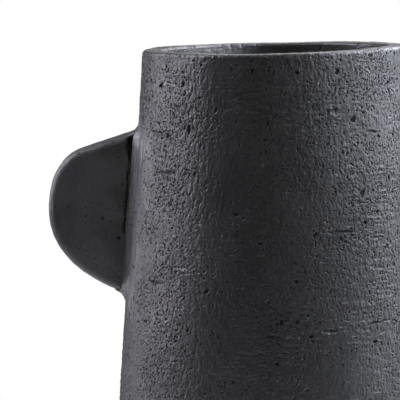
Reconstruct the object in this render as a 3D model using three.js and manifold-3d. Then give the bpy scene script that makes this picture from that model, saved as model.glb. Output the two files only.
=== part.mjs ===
// A tall black clay pot with two solid lugs, hand built from a slab and flattened coils.
//
// The pot is laid up from the base: a round slab, one course of coil after another, each pressed
// onto the slanted top of the course below, and a flat-topped rim coil. A thin coil fills the inner
// corner at the base. A solid D-shaped lug is stuck to each side, and a ring of luting clay is
// smeared round the root of each lug.
//
// Millimetres, +Z up. The origin is the middle of the underside, where the pot stands. The lugs
// point along -X and +X.

import * as THREE from 'three';
import { mergeVertices } from 'three/addons/utils/BufferGeometryUtils.js';
import Module from 'manifold-3d';

// ---- Driving dimensions ----

// The vessel
const totalHeight = 350; // underside to the flat top of the rim
const rimRadius = 75; // outside, at the top
const wallThickness = 11.4;
const flareAngle = THREE.MathUtils.degToRad(3.92); // how far the side leans out on its way down
const bellyHeight = 55; // the level of the widest ring
const bellyArcRadius = 100; // of the side's profile, where it turns in to the foot

// The base
const baseThickness = 12;
const baseEdgeRadius = 4;
const cornerCoilSize = 14; // how far the corner coil reaches up the wall and in across the slab

// The courses
const courseCount = 11;
const rimCoilHeight = 18;
const rimEdgeRadius = 1.8;
const scarfRise = 6; // how much higher a course's top edge is inside than outside

// The lugs
const lugThickness = 20;
const lugEdgeRadius = 4.5;
const lugTopDepth = 46.5; // below the rim, where the shoulder leaves the wall
const lugTipDepth = 92; // below the rim, where the lug reaches out farthest
const lugBottomDepth = 140; // below the rim, where the underside meets the wall
const lugReach = 47.5; // from the wall to the tip
const lugShoulderLength = 34; // the straight stretch of the upper edge
const lugShoulderAngle = THREE.MathUtils.degToRad(19); // below the horizontal
const lugEmbed = 6; // how far the raw lug runs into the wall before it is cut back

// How full the lug's rounded edge is: where its guide points lie, as shares of the way along.
const browOut = 0.53; // above the tip, from the shoulder's end out to the tip
const browUp = 0.57; // above the tip, from the tip's level up to the shoulder's end
const jawDown = 0.45; // below the tip, from the tip's level down to the underside
const heelOut = 0.58; // along the underside, from the wall out to the tip
const heelUp = 0.18; // along the underside, from the wall's joint up to the tip's level

// The luting clay round each lug
const lutingWidth = 9; // across the wall
const lutingRise = 3.6; // up the side of the lug
const lutingLip = 1; // thickness left at its outer edge

// Fits
const jointGap = 0.3; // clay to clay, in every joint

// Fineness of the faceting
const turnSegments = 64;
const cornerSegments = 3;
const bellyStep = 10; // longest straight step of the profile below the start of the belly arc
const lugCurveSegments = 12;
const lutingSegments = 32;

// ---- Clays ----

const wallClay = new THREE.MeshStandardMaterial({ color: 0x2c2b2d, roughness: 0.55, metalness: 0 });
const lugClay = new THREE.MeshStandardMaterial({ color: 0x2f2e2f, roughness: 0.6, metalness: 0 });
const lutingClay = new THREE.MeshStandardMaterial({ color: 0x383739, roughness: 0.5, metalness: 0 });

// ---- The side's profile ----

// The straight flare runs down to where it is tangent to the belly arc.
const arcStart = bellyHeight + bellyArcRadius * Math.sin(flareAngle);
const arcStartRadius = rimRadius + (totalHeight - arcStart) * Math.tan(flareAngle);
const arcCentreRadius = arcStartRadius - bellyArcRadius * Math.cos(flareAngle);

// Outside radius at a height above the underside.
function outerRadius(z) {
  if (z >= arcStart) {
    return rimRadius + (totalHeight - z) * Math.tan(flareAngle);
  }
  return arcCentreRadius + Math.sqrt(bellyArcRadius ** 2 - (z - bellyHeight) ** 2);
}

// Inside radius at a height above the underside.
function innerRadius(z) {
  return outerRadius(z) - wallThickness;
}

// Heights from one level to another, both included, in steps short enough for the belly arc.
function levels(from, to) {
  const curved = Math.min(from, to) < arcStart;
  const steps = curved ? Math.ceil(Math.abs(to - from) / bellyStep) : 1;
  return Array.from({ length: steps + 1 }, (_, i) => from + ((to - from) * i) / steps);
}

// Points of a profile that follows a radius function between two heights.
function follow(radiusAt, from, to) {
  return levels(from, to).map((z) => new THREE.Vector2(radiusAt(z), z));
}

// Points of a round corner, between two angles in degrees.
function corner(x, y, radius, fromDegrees, toDegrees) {
  return Array.from({ length: cornerSegments + 1 }, (_, i) => {
    const degrees = fromDegrees + ((toDegrees - fromDegrees) * i) / cornerSegments;
    const angle = THREE.MathUtils.degToRad(degrees);
    return new THREE.Vector2(x + radius * Math.cos(angle), y + radius * Math.sin(angle));
  });
}

// A closed ring turned about the Z axis from a profile listed anticlockwise.
function turned(profile) {
  const closed = [...profile, profile[0].clone()];
  const geometry = new THREE.LatheGeometry(closed, turnSegments);
  return geometry.rotateX(Math.PI / 2);
}

// ---- Solids for joining and cutting ----

const wasm = await Module();
wasm.setup();

function toSolid(geometry) {
  const bare = geometry.clone();
  bare.deleteAttribute('normal');
  bare.deleteAttribute('uv');
  const merged = mergeVertices(bare, 1e-4);
  const mesh = new wasm.Mesh({
    numProp: 3,
    vertProperties: new Float32Array(merged.attributes.position.array),
    triVerts: new Uint32Array(merged.index.array),
  });
  return new wasm.Manifold(mesh);
}

function toGeometry(solid) {
  const mesh = solid.getMesh();
  const geometry = new THREE.BufferGeometry();
  geometry.setAttribute('position', new THREE.BufferAttribute(mesh.vertProperties, 3));
  geometry.setIndex(new THREE.BufferAttribute(mesh.triVerts, 1));
  geometry.computeVertexNormals();
  return geometry;
}

// The filled space inside the pot's outer surface, grown outwards by the joint gap. Everything that
// is stuck to the wall is cut back by it.
function wallSpace() {
  const side = follow((z) => outerRadius(z) + jointGap, 0, totalHeight);
  const profile = [new THREE.Vector2(0, 0), ...side, new THREE.Vector2(0, totalHeight)];
  const geometry = new THREE.LatheGeometry(profile, turnSegments);
  return toSolid(geometry.rotateX(Math.PI / 2));
}

// ---- The vessel ----

function baseSlab() {
  const edge = outerRadius(baseEdgeRadius) - baseEdgeRadius;
  const profile = [
    new THREE.Vector2(0, 0),
    ...corner(edge, baseEdgeRadius, baseEdgeRadius, -90, 0),
    ...follow(outerRadius, baseEdgeRadius, baseThickness).slice(1),
    new THREE.Vector2(0, baseThickness),
  ];
  const geometry = new THREE.LatheGeometry(profile, turnSegments);
  return geometry.rotateX(Math.PI / 2);
}

// The filler in the inner corner between the slab and the first course, with a hollow face.
function cornerCoil() {
  const floor = baseThickness + jointGap;
  const top = floor + cornerCoilSize;
  const wall = (z) => innerRadius(z) - jointGap;
  const inner = wall(floor) - cornerCoilSize;
  const lip = cornerCoilSize / 5;
  const hollow = cornerCoilSize - lip;
  const face = corner(inner, top, hollow, 0, -90);
  return turned([
    new THREE.Vector2(inner, floor),
    ...follow(wall, floor, top),
    ...face,
  ]);
}

// The level of the joint above a course, on the outside.
const courseHeight = (totalHeight - baseThickness - rimCoilHeight) / courseCount;
const jointLevel = (course) => baseThickness + course * courseHeight;

// One flattened coil. Its foot sits on the slab or on the slanted top of the course below.
function wallCourse(course) {
  const footSlant = course === 1 ? 0 : scarfRise;
  const foot = jointLevel(course - 1) + jointGap;
  const top = jointLevel(course);
  return turned([
    ...follow(outerRadius, foot, top),
    ...follow(innerRadius, top + scarfRise, foot + footSlant),
  ]);
}

function rimCoil() {
  const foot = jointLevel(courseCount) + jointGap;
  const shoulder = totalHeight - rimEdgeRadius;
  return turned([
    new THREE.Vector2(outerRadius(foot), foot),
    ...corner(outerRadius(shoulder) - rimEdgeRadius, shoulder, rimEdgeRadius, 0, 90),
    ...corner(innerRadius(shoulder) + rimEdgeRadius, shoulder, rimEdgeRadius, 90, 180),
    new THREE.Vector2(innerRadius(foot + scarfRise), foot + scarfRise),
  ]);
}

// ---- The lugs ----

// Where the lug's edge runs, as distance from the axis and height.
function lugOutline() {
  const rootTop = totalHeight - lugTopDepth;
  const rootBottom = totalHeight - lugBottomDepth;
  const tipLevel = totalHeight - lugTipDepth;
  const tip = outerRadius(tipLevel) + lugReach;
  const run = Math.cos(lugShoulderAngle);
  const drop = Math.sin(lugShoulderAngle);
  const shoulderStart = outerRadius(rootTop);
  const shoulderEnd = shoulderStart + lugShoulderLength * run;
  const shoulderLevel = rootTop - lugShoulderLength * drop;
  const brow = (tip - shoulderEnd) * browOut;
  const heel = outerRadius(rootBottom);
  const underside = tipLevel - rootBottom;

  const outline = new THREE.Shape();
  outline.moveTo(shoulderStart - lugEmbed, rootTop + (lugEmbed * drop) / run);
  outline.lineTo(shoulderEnd, shoulderLevel);
  outline.bezierCurveTo(
    shoulderEnd + brow,
    shoulderLevel - (brow * drop) / run,
    tip,
    tipLevel + (shoulderLevel - tipLevel) * browUp,
    tip,
    tipLevel,
  );
  outline.bezierCurveTo(
    tip,
    tipLevel - underside * jawDown,
    heel + (tip - heel) * heelOut,
    rootBottom + underside * heelUp,
    heel,
    rootBottom,
  );
  outline.lineTo(heel - lugEmbed, rootBottom);
  outline.closePath();
  return outline;
}

// The raw lug towards +X, larger all round by growth, before it is cut back to the wall.
function rawLug(growth) {
  const edge = lugEdgeRadius + growth;
  const geometry = new THREE.ExtrudeGeometry(lugOutline(), {
    depth: lugThickness - 2 * lugEdgeRadius,
    bevelThickness: edge,
    bevelSize: edge,
    bevelOffset: -lugEdgeRadius,
    bevelSegments: cornerSegments,
    curveSegments: lugCurveSegments,
  });
  geometry.translate(0, 0, lugEdgeRadius - lugThickness / 2);
  return toSolid(geometry.rotateX(Math.PI / 2));
}

// A mound of clay over the lug's root, highest along the lug's own outline and thinning to its edge.
// Each ring of points lies at a distance outside the root's outline and at a height off the wall.
function lutingMound() {
  const middle = totalHeight - (lugTopDepth + lugBottomDepth) / 2;
  const halfLength = (lugBottomDepth - lugTopDepth) / 2;
  const halfWidth = lugThickness / 2;
  const rings = [
    [lutingWidth, -lugEmbed],
    [lutingWidth, lutingLip],
    [lutingWidth * 0.6, lutingLip + (lutingRise - lutingLip) * 0.22],
    [lutingWidth * 0.25, lutingLip + (lutingRise - lutingLip) * 0.62],
    [0, lutingRise],
  ];
  const onWall = (y, z, height) => {
    const x = Math.sqrt(outerRadius(z) ** 2 - y ** 2) + height;
    return [x, y, z];
  };
  const positions = [onWall(0, middle, -lugEmbed)].flat();
  rings.forEach(([distance, height]) => {
    const straight = halfLength - halfWidth;
    const bend = halfWidth + distance;
    for (let i = 0; i < lutingSegments; i += 1) {
      const angle = (2 * Math.PI * (i + 0.5)) / lutingSegments;
      const y = bend * Math.cos(angle);
      const end = Math.sign(Math.sin(angle)) * straight;
      const z = middle + end + bend * Math.sin(angle);
      positions.push(...onWall(y, z, height));
    }
  });
  positions.push(...onWall(0, middle, lutingRise));

  const indices = [];
  const last = positions.length / 3 - 1;
  const at = (ring, i) => 1 + ring * lutingSegments + (i % lutingSegments);
  for (let i = 0; i < lutingSegments; i += 1) {
    indices.push(0, at(0, i + 1), at(0, i));
    indices.push(last, at(rings.length - 1, i), at(rings.length - 1, i + 1));
    for (let ring = 0; ring < rings.length - 1; ring += 1) {
      indices.push(at(ring, i), at(ring, i + 1), at(ring + 1, i + 1));
      indices.push(at(ring, i), at(ring + 1, i + 1), at(ring + 1, i));
    }
  }
  const geometry = new THREE.BufferGeometry();
  geometry.setAttribute('position', new THREE.Float32BufferAttribute(positions, 3));
  geometry.setIndex(indices);
  return toSolid(geometry);
}

// ---- Assembly ----

const pot = new THREE.Group();
pot.name = 'black_clay_pot';

function addPiece(parent, name, geometry, material) {
  const mesh = new THREE.Mesh(geometry, material);
  mesh.name = name;
  parent.add(mesh);
}

addPiece(pot, 'base_slab', baseSlab(), wallClay);
addPiece(pot, 'base_corner_coil', cornerCoil(), wallClay);
for (let course = 1; course <= courseCount; course += 1) {
  const number = String(course).padStart(2, '0');
  addPiece(pot, `wall_course_${number}`, wallCourse(course), wallClay);
}
addPiece(pot, 'rim_coil', rimCoil(), wallClay);

const wall = wallSpace();
const lugShape = toGeometry(rawLug(0).subtract(wall));
const lutingShape = toGeometry(lutingMound().subtract(wall).subtract(rawLug(jointGap)));
const sides = [
  ['right', 0],
  ['left', Math.PI],
];
sides.forEach(([side, turn]) => {
  const group = new THREE.Group();
  group.rotation.z = turn;
  addPiece(group, `${side}_lug`, lugShape, lugClay);
  addPiece(group, `${side}_lug_luting`, lutingShape, lutingClay);
  pot.add(group);
});

export default pot;
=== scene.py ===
"""A tall black clay pot with two solid lugs, coil built and fired black, in a plain pale studio.

The pot keeps the pieces it is laid up from: a base slab, a corner coil, the wall's courses one on
another, a flat-topped rim coil, and on each side a D-shaped lug in a ring of luting clay. Each piece
is a closed surface on a grid. The hand-made unevenness, pits, cracks and drag marks are one function
of the place in space, so that neighbouring courses meet without a step.

Lengths are millimetres while a piece is shaped, and metres once it is a mesh. A bearing is an angle
round the pot from its front, which is -Y, and grows towards +X.
"""

import logging
import math
from dataclasses import dataclass, field
from enum import Enum
from typing import Sequence

import bpy
import numpy as np
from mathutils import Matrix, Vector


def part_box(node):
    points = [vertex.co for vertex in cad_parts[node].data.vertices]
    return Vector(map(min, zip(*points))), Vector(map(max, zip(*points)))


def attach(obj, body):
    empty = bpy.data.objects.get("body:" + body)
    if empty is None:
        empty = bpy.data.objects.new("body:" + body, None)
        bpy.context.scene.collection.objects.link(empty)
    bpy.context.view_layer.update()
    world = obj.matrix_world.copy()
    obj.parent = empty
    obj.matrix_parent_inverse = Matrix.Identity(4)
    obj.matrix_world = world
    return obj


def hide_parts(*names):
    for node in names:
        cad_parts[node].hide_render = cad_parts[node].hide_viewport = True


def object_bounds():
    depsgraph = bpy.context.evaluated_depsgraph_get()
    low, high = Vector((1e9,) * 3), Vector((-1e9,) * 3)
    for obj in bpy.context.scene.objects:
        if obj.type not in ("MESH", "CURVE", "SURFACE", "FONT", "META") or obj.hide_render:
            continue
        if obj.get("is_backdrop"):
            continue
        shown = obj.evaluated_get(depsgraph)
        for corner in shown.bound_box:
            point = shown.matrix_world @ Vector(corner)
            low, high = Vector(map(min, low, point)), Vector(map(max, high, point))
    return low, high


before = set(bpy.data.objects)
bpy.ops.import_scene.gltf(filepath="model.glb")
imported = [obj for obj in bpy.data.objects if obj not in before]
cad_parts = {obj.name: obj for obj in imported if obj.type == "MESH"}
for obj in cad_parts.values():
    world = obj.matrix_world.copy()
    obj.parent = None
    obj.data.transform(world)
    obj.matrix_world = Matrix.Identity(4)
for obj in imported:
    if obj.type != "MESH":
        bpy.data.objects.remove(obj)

log = logging.getLogger("clay_pot")

Array = np.ndarray

MM = 0.001  # one millimetre, in metres
TURN = 2.0 * math.pi
GIRTH = 80.0 * TURN  # the length that every way round the pot is laid out to, in millimetres

SPREADERS = (0x27D4EB2D, 0x165667B1, 0x9E3779B1)  # large odd numbers, one for each of a cell's three
SCRAMBLERS = (0x2C1B3C6D, 0x297A2D39)
MOST_CHANCE = 4294967295.0
SEED_SHIFT = 0.37  # moves each pattern's lattice, so that no two of them line up

DISH = 0.6  # below 1, a hollow has steep sides and a flat bottom
SMALL_BIAS = 1.5  # above 1, most pits are nearer to the smallest
LEAST_STRETCH, STRETCH_RANGE = 0.75, 0.6  # how long a pit may be for its height

BEARING_SAMPLES = 7201  # how finely the spacing of columns is added up
LEVEL_SAMPLES = 1200  # how finely the spacing of rows is added up

FIRST_SEAM_SEED = 101  # each seam has the next number
SEAM_RUNS = (13.0, 13.0, 1.0)  # how long the stretches are where a seam shows, in millimetres


class Slot(Enum):
    """The record's material slots, one for each kind of clay surface."""

    WALL = "wall_clay"
    LUG = "lug_clay"
    LUTING = "luting_clay"


class Side(Enum):
    """The two sides that carry a lug: the direction of each along X."""

    LEFT = -1.0
    RIGHT = 1.0


# ---- Seeded patterns in space ----


def smoothstep(low: float, high: float, value: Array) -> Array:
    """Rises from 0 at low to 1 at high along 3t^2 - 2t^3, and is flat outside.

    Args:
        low: Where the rise starts; it may be above high, and the step then falls.
        high: Where the rise ends.
        value: The numbers to look up.

    Returns:
        The step's height at each number.
    """
    share = np.clip((value - low) / (high - low), 0.0, 1.0)
    return share * share * (3.0 - 2.0 * share)


def chance(cells: Array, seed: int) -> Array:
    """Gives each cell of a lattice a repeatable random number.

    The three whole numbers of a cell are multiplied by large odd numbers, mixed with the seed and
    scrambled twice by shifting and multiplying.

    Args:
        cells: Whole-numbered cells, one row of three for each point.
        seed: Any number; each pattern has its own.

    Returns:
        One number from 0 to 1 for each row.
    """
    whole = cells.astype(np.int64).astype(np.uint32) * np.array(SPREADERS, np.uint32)
    mixed = whole[:, 0] ^ whole[:, 1] ^ whole[:, 2]
    mixed += np.uint32(seed * 7919 + 17)
    for shift, scrambler in zip((15, 12), SCRAMBLERS):
        mixed ^= mixed >> np.uint32(shift)
        mixed *= np.uint32(scrambler)
    mixed ^= mixed >> np.uint32(15)
    return mixed.astype(np.float64) / MOST_CHANCE


def pairs(radius: Array | float, level: Array | float) -> Array:
    """Lists places of a section, one row of radius and height for each; a lone number repeats."""
    return np.stack(np.broadcast_arrays(np.asarray(radius, float), np.asarray(level, float)), axis=1)


def bearing_of(points: Array) -> Array:
    """Gives the bearing of each place, in radians from the front, growing towards +X."""
    return np.arctan2(points[:, 0], -points[:, 1])


def half_turned(angle: Array) -> Array:
    """Brings angles in radians to between half a turn below 0 and half a turn above it."""
    return np.remainder(angle + math.pi, TURN) - math.pi


@dataclass(frozen=True)
class Waves:
    """Smooth unevenness: random heights on a lattice, blended between its corners.

    Attributes:
        seed: The pattern's own number.
        size: How long a bump is along X, Y and Z, in millimetres.
        height: How far it stands up or down, in millimetres.
    """

    seed: int
    size: tuple[float, float, float]
    height: float

    def at(self, points: Array) -> Array:
        """Blends the eight nearest lattice heights by 6t^5 - 15t^4 + 10t^3 along each axis.

        Args:
            points: Places in space, one row of three for each.

        Returns:
            The height at each place, from -height to +height.
        """
        scaled = points / np.array(self.size) + self.seed * SEED_SHIFT
        corner = np.floor(scaled)
        part = scaled - corner
        part = part**3 * (part * (part * 6.0 - 15.0) + 10.0)
        total = np.zeros(len(points))
        for step in np.ndindex(2, 2, 2):
            share = np.prod(np.where(np.array(step) == 1, part, 1.0 - part), axis=1)
            total += share * chance(corner + step, self.seed)
        return (2.0 * total - 1.0) * self.height


@dataclass(frozen=True)
class Pits:
    """A scatter of hollows over the surface laid out flat, at most one in each cell.

    Attributes:
        seed: The scatter's own number.
        cell: The cell's width and height, in millimetres; a tall cell makes tall pits.
        share: How many of the cells hold a pit, from 0 to 1.
        smallest: The least radius, as a share of the cell, at most 0.35.
        largest: The greatest radius, as a share of the cell, at most 0.35.
        depth: The depth of the largest, in millimetres.
    """

    seed: int
    cell: tuple[float, float]
    share: float
    smallest: float
    largest: float
    depth: float

    def at(self, spread: Array, crowding: Array) -> Array:
        """Finds how deep each place lies in the deepest pit round it.

        A pit reaches less than half a cell, so the four cells nearest to a place hold every pit that
        can reach it. Its depth is 1 - (distance / radius)^2, raised to DISH, times its size. The
        cells fit a whole number of times round the pot.

        Args:
            spread: Places on the surface laid out flat, in millimetres, one row of two for each.
            crowding: How much of the scatter is kept at each place, from 0 to 1.

        Returns:
            The depth at each place, in millimetres, 0 outside every pit.
        """
        around = round(GIRTH / self.cell[0])
        scaled = spread / [GIRTH / around, self.cell[1]]
        corner = np.floor(scaled - 0.5)
        deepest = np.zeros(len(spread))
        for step in np.ndindex(2, 2):
            cell = corner + step
            key = np.stack([np.mod(cell[:, 0], around), cell[:, 1], np.full(len(cell), self.seed)], axis=1)
            size = self.smallest + (self.largest - self.smallest) * chance(key, 3) ** SMALL_BIAS
            stretch = LEAST_STRETCH + STRETCH_RANGE * chance(key, 4)
            run = (scaled[:, 0] - cell[:, 0] - chance(key, 1)) / (size * stretch)
            rise = (scaled[:, 1] - cell[:, 1] - chance(key, 2)) * stretch / size
            bowl = np.clip(1.0 - run**2 - rise**2, 0.0, None) ** DISH
            present = chance(key, 5) < self.share * crowding
            deepest = np.maximum(deepest, np.where(present, bowl * self.depth * size / self.largest, 0.0))
        return deepest


@dataclass(frozen=True)
class Mark:
    """One crack, drag mark or large pit on the outside of the wall.

    Attributes:
        bearing: Its middle, in degrees round the pot from the front.
        drop: Its middle, in millimetres below the rim.
        length: Its length along its own run, in millimetres.
        width: Its width across, in millimetres.
        depth: Its greatest depth, in millimetres.
        tilt: How far its run rises towards the right, in degrees.
        bow: How far its ends lie above its middle, in millimetres.
    """

    bearing: float
    drop: float
    length: float
    width: float
    depth: float
    tilt: float = 0.0
    bow: float = 0.0

    def at(self, run: Array, rise: Array) -> Array:
        """Gives the mark's depth at places beside its middle.

        The depth falls off as (1 - along^2)^DISH towards the ends and as a bell curve across.

        Args:
            run: Millimetres to the right of the middle, round the pot.
            rise: Millimetres above the middle.

        Returns:
            The depth at each place, in millimetres.
        """
        turn = math.radians(self.tilt)
        along = (run * math.cos(turn) + rise * math.sin(turn)) / (self.length / 2.0)
        across = rise * math.cos(turn) - run * math.sin(turn) - self.bow * along**2
        fade = np.clip(1.0 - along**2, 0.0, None) ** DISH
        return self.depth * fade * np.exp(-((across / (self.width / 2.0)) ** 2))


# ---- The pot's plain shape ----


@dataclass(frozen=True)
class Profile:
    """The plain shape of the pot's side, in millimetres, which the courses are laid up to.

    Attributes:
        height: The pot's height.
        rim_radius: The rim's outside radius.
        wall: The wall's thickness.
        flare: How far the straight side leans out downwards, in radians.
        belly_height: Where the belly is widest, above the underside.
        belly_arc: The radius of the belly's upright curve.
    """

    height: float
    rim_radius: float = 75.0
    wall: float = 11.4
    flare: float = math.radians(3.92)
    belly_height: float = 55.0
    belly_arc: float = 100.0

    def outer(self, level: Array) -> Array:
        """Gives the outside radius: a straight flare down to a round belly.

        Args:
            level: Heights above the underside.

        Returns:
            The radius at each height.
        """
        start = self.belly_height + self.belly_arc * math.sin(self.flare)
        centre = self.rim_radius + (self.height - start) * math.tan(self.flare)
        centre -= self.belly_arc * math.cos(self.flare)
        straight = self.rim_radius + (self.height - level) * math.tan(self.flare)
        sunk = np.minimum(level, start) - self.belly_height
        return np.where(level >= start, straight, centre + np.sqrt(self.belly_arc**2 - sunk**2))

    def inner(self, level: Array) -> Array:
        """Gives the inside radius, one wall inside the outer."""
        return self.outer(level) - self.wall


@dataclass(frozen=True)
class LugShape:
    """The lug's outline and edge, in millimetres.

    Attributes:
        thickness: Its thickness from face to face.
        edge: The radius of its rounded edge.
        top_drop: How far below the rim its shoulder leaves the wall.
        tip_drop: How far below the rim it stands out furthest.
        bottom_drop: How far below the rim its heel meets the wall.
        reach: How far its tip stands off the wall.
        shoulder_length: The length of its straight shoulder.
        shoulder_angle: How steeply the shoulder falls, in radians.
        brow_out: How far the shoulder's line is carried towards the tip, as a share of what is left.
        brow_up: How far the tip's line is carried up, as a share of the way to the shoulder.
        jaw_down: How far the tip's line is carried down, as a share of the way to the heel.
        heel_out: How far out the heel's curve is drawn, as a share of the way to the tip.
        heel_up: How high the heel's curve is drawn, as a share of the way to the tip.
        sunk: How far the root runs into the wall's surface.
        curve_points: How many points each of the two curves has.
    """

    thickness: float = 20.0
    edge: float = 4.5
    top_drop: float = 46.5
    tip_drop: float = 92.0
    bottom_drop: float = 140.0
    reach: float = 47.5
    shoulder_length: float = 34.0
    shoulder_angle: float = math.radians(19.0)
    brow_out: float = 0.53
    brow_up: float = 0.57
    jaw_down: float = 0.45
    heel_out: float = 0.58
    heel_up: float = 0.18
    sunk: float = 2.0
    curve_points: int = 160

    def outline(self, profile: Profile) -> Array:
        """Walks round the lug's outline: the shoulder, two cubic curves round the tip, the root.

        Args:
            profile: The side that the lug is stuck to.

        Returns:
            Points as distance from the axis and height, clockwise from the top of the root.
        """
        top = profile.height - self.top_drop
        tip_level = profile.height - self.tip_drop
        bottom = profile.height - self.bottom_drop
        fall = math.tan(self.shoulder_angle)
        start = float(profile.outer(top))
        heel = float(profile.outer(bottom))
        tip = float(profile.outer(tip_level)) + self.reach
        run = self.shoulder_length * math.cos(self.shoulder_angle)
        shoulder = np.array([start + run, top - run * fall])
        brow = (tip - shoulder[0]) * self.brow_out
        under = tip_level - bottom
        corners = [
            [start - self.sunk, top + self.sunk * fall],
            shoulder,
            shoulder + [brow, -brow * fall],
            [tip, tip_level + (shoulder[1] - tip_level) * self.brow_up],
            [tip, tip_level],
            [tip, tip_level - under * self.jaw_down],
            [heel + (tip - heel) * self.heel_out, bottom + under * self.heel_up],
            [heel, bottom],
            [heel - self.sunk, bottom],
        ]
        guide = np.array(corners, float)
        share = np.linspace(0.0, 1.0, self.curve_points)[:, None]
        upper = cubic(guide[1], guide[2], guide[3], guide[4], share)
        lower = cubic(guide[4], guide[5], guide[6], guide[7], share)
        shoulder_run = guide[0] + (guide[1] - guide[0]) * share[:-1]
        root = guide[8] + (guide[0] - guide[8]) * share[:-1]
        return np.concatenate([shoulder_run, upper[:-1], lower, root])


def even_steps(path: Array, count: int) -> Array:
    """Walks round a closed path again, in even steps by length.

    Args:
        path: Points along it, one row for each.
        count: How many points to return.

    Returns:
        The new points, from the same start.
    """
    closed = np.concatenate([path, path[:1]])
    length = np.concatenate([[0.0], np.cumsum(np.linalg.norm(np.diff(closed, axis=0), axis=1))])
    even = np.arange(count) / count * length[-1]
    return np.stack([np.interp(even, length, closed[:, k]) for k in range(path.shape[1])], axis=1)


def cubic(
    start: Array, first: Array, second: Array, end: Array, share: Array
) -> Array:
    """Follows a cubic curve by its four guide points, weighted (1-t)^3, 3(1-t)^2 t, 3(1-t) t^2, t^3."""
    rest = 1.0 - share
    return rest**3 * start + 3 * rest**2 * share * first + 3 * rest * share**2 * second + share**3 * end


# ---- The clay's surface ----


@dataclass(frozen=True)
class Smear:
    """The patch of wall beside each lug that was wiped smooth when the lug was stuck on; the materials also
    colour it paler, partly as a painted sheen.

    Attributes:
        top_drop: Its upper end below the rim, in millimetres.
        bottom_drop: Its lower end below the rim, in millimetres.
        half_width: How far it reaches round the wall each way from the lug, in millimetres.
        feather: The width of its soft edge, in millimetres.
        wander: How its edge strays.
    """

    top_drop: float = 40.0
    bottom_drop: float = 146.0
    half_width: float = 33.0
    feather: float = 12.0
    wander: Waves = Waves(61, (14.0, 14.0, 26.0), 5.0)

    def at(self, points: Array, height: float) -> Array:
        """Gives how smooth-wiped each place is, from 0 on the bare wall to 1 beside a lug.

        Args:
            points: Places in space, in millimetres.
            height: The pot's height.

        Returns:
            A number from 0 to 1 for each place.
        """
        drop = height - points[:, 2]
        turn = np.abs(np.arctan2(points[:, 1], np.abs(points[:, 0])))
        across = turn * np.hypot(points[:, 0], points[:, 1])
        wander = self.wander.at(points)
        sides = smoothstep(self.half_width + self.feather, self.half_width - self.feather, across + wander)
        above = smoothstep(self.top_drop - self.feather, self.top_drop + self.feather, drop + wander)
        below = smoothstep(self.bottom_drop + self.feather, self.bottom_drop - self.feather, drop + wander)
        return sides * above * below


@dataclass
class Surface:
    """The clay's surface at a list of places.

    Attributes:
        swell: How far the long unevenness stands out, in millimetres.
        relief: How far the grain stands out and the pits go in, in millimetres.
        hollow: How deep in a pit or crack each place lies, from 0 to 1; the materials paint shade there by
            it.
        smeared: How thickly it is coated with slip, from 0 to 1, which the materials colour paler; that
            colour is partly a painted sheen, and on the inner wall a painted highlight.
        polished: How smooth it has been rubbed, from 0 to 1.
        crowd: How thickly it is pitted, from 0 up.
    """

    swell: Array
    relief: Array
    hollow: Array
    smeared: Array
    polished: Array
    crowd: Array

    def states(self) -> dict[str, Array]:
        """Lists the numbers that the materials read, by name."""
        return {name: getattr(self, name) for name in ("hollow", "smeared", "polished", "crowd")}


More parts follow.
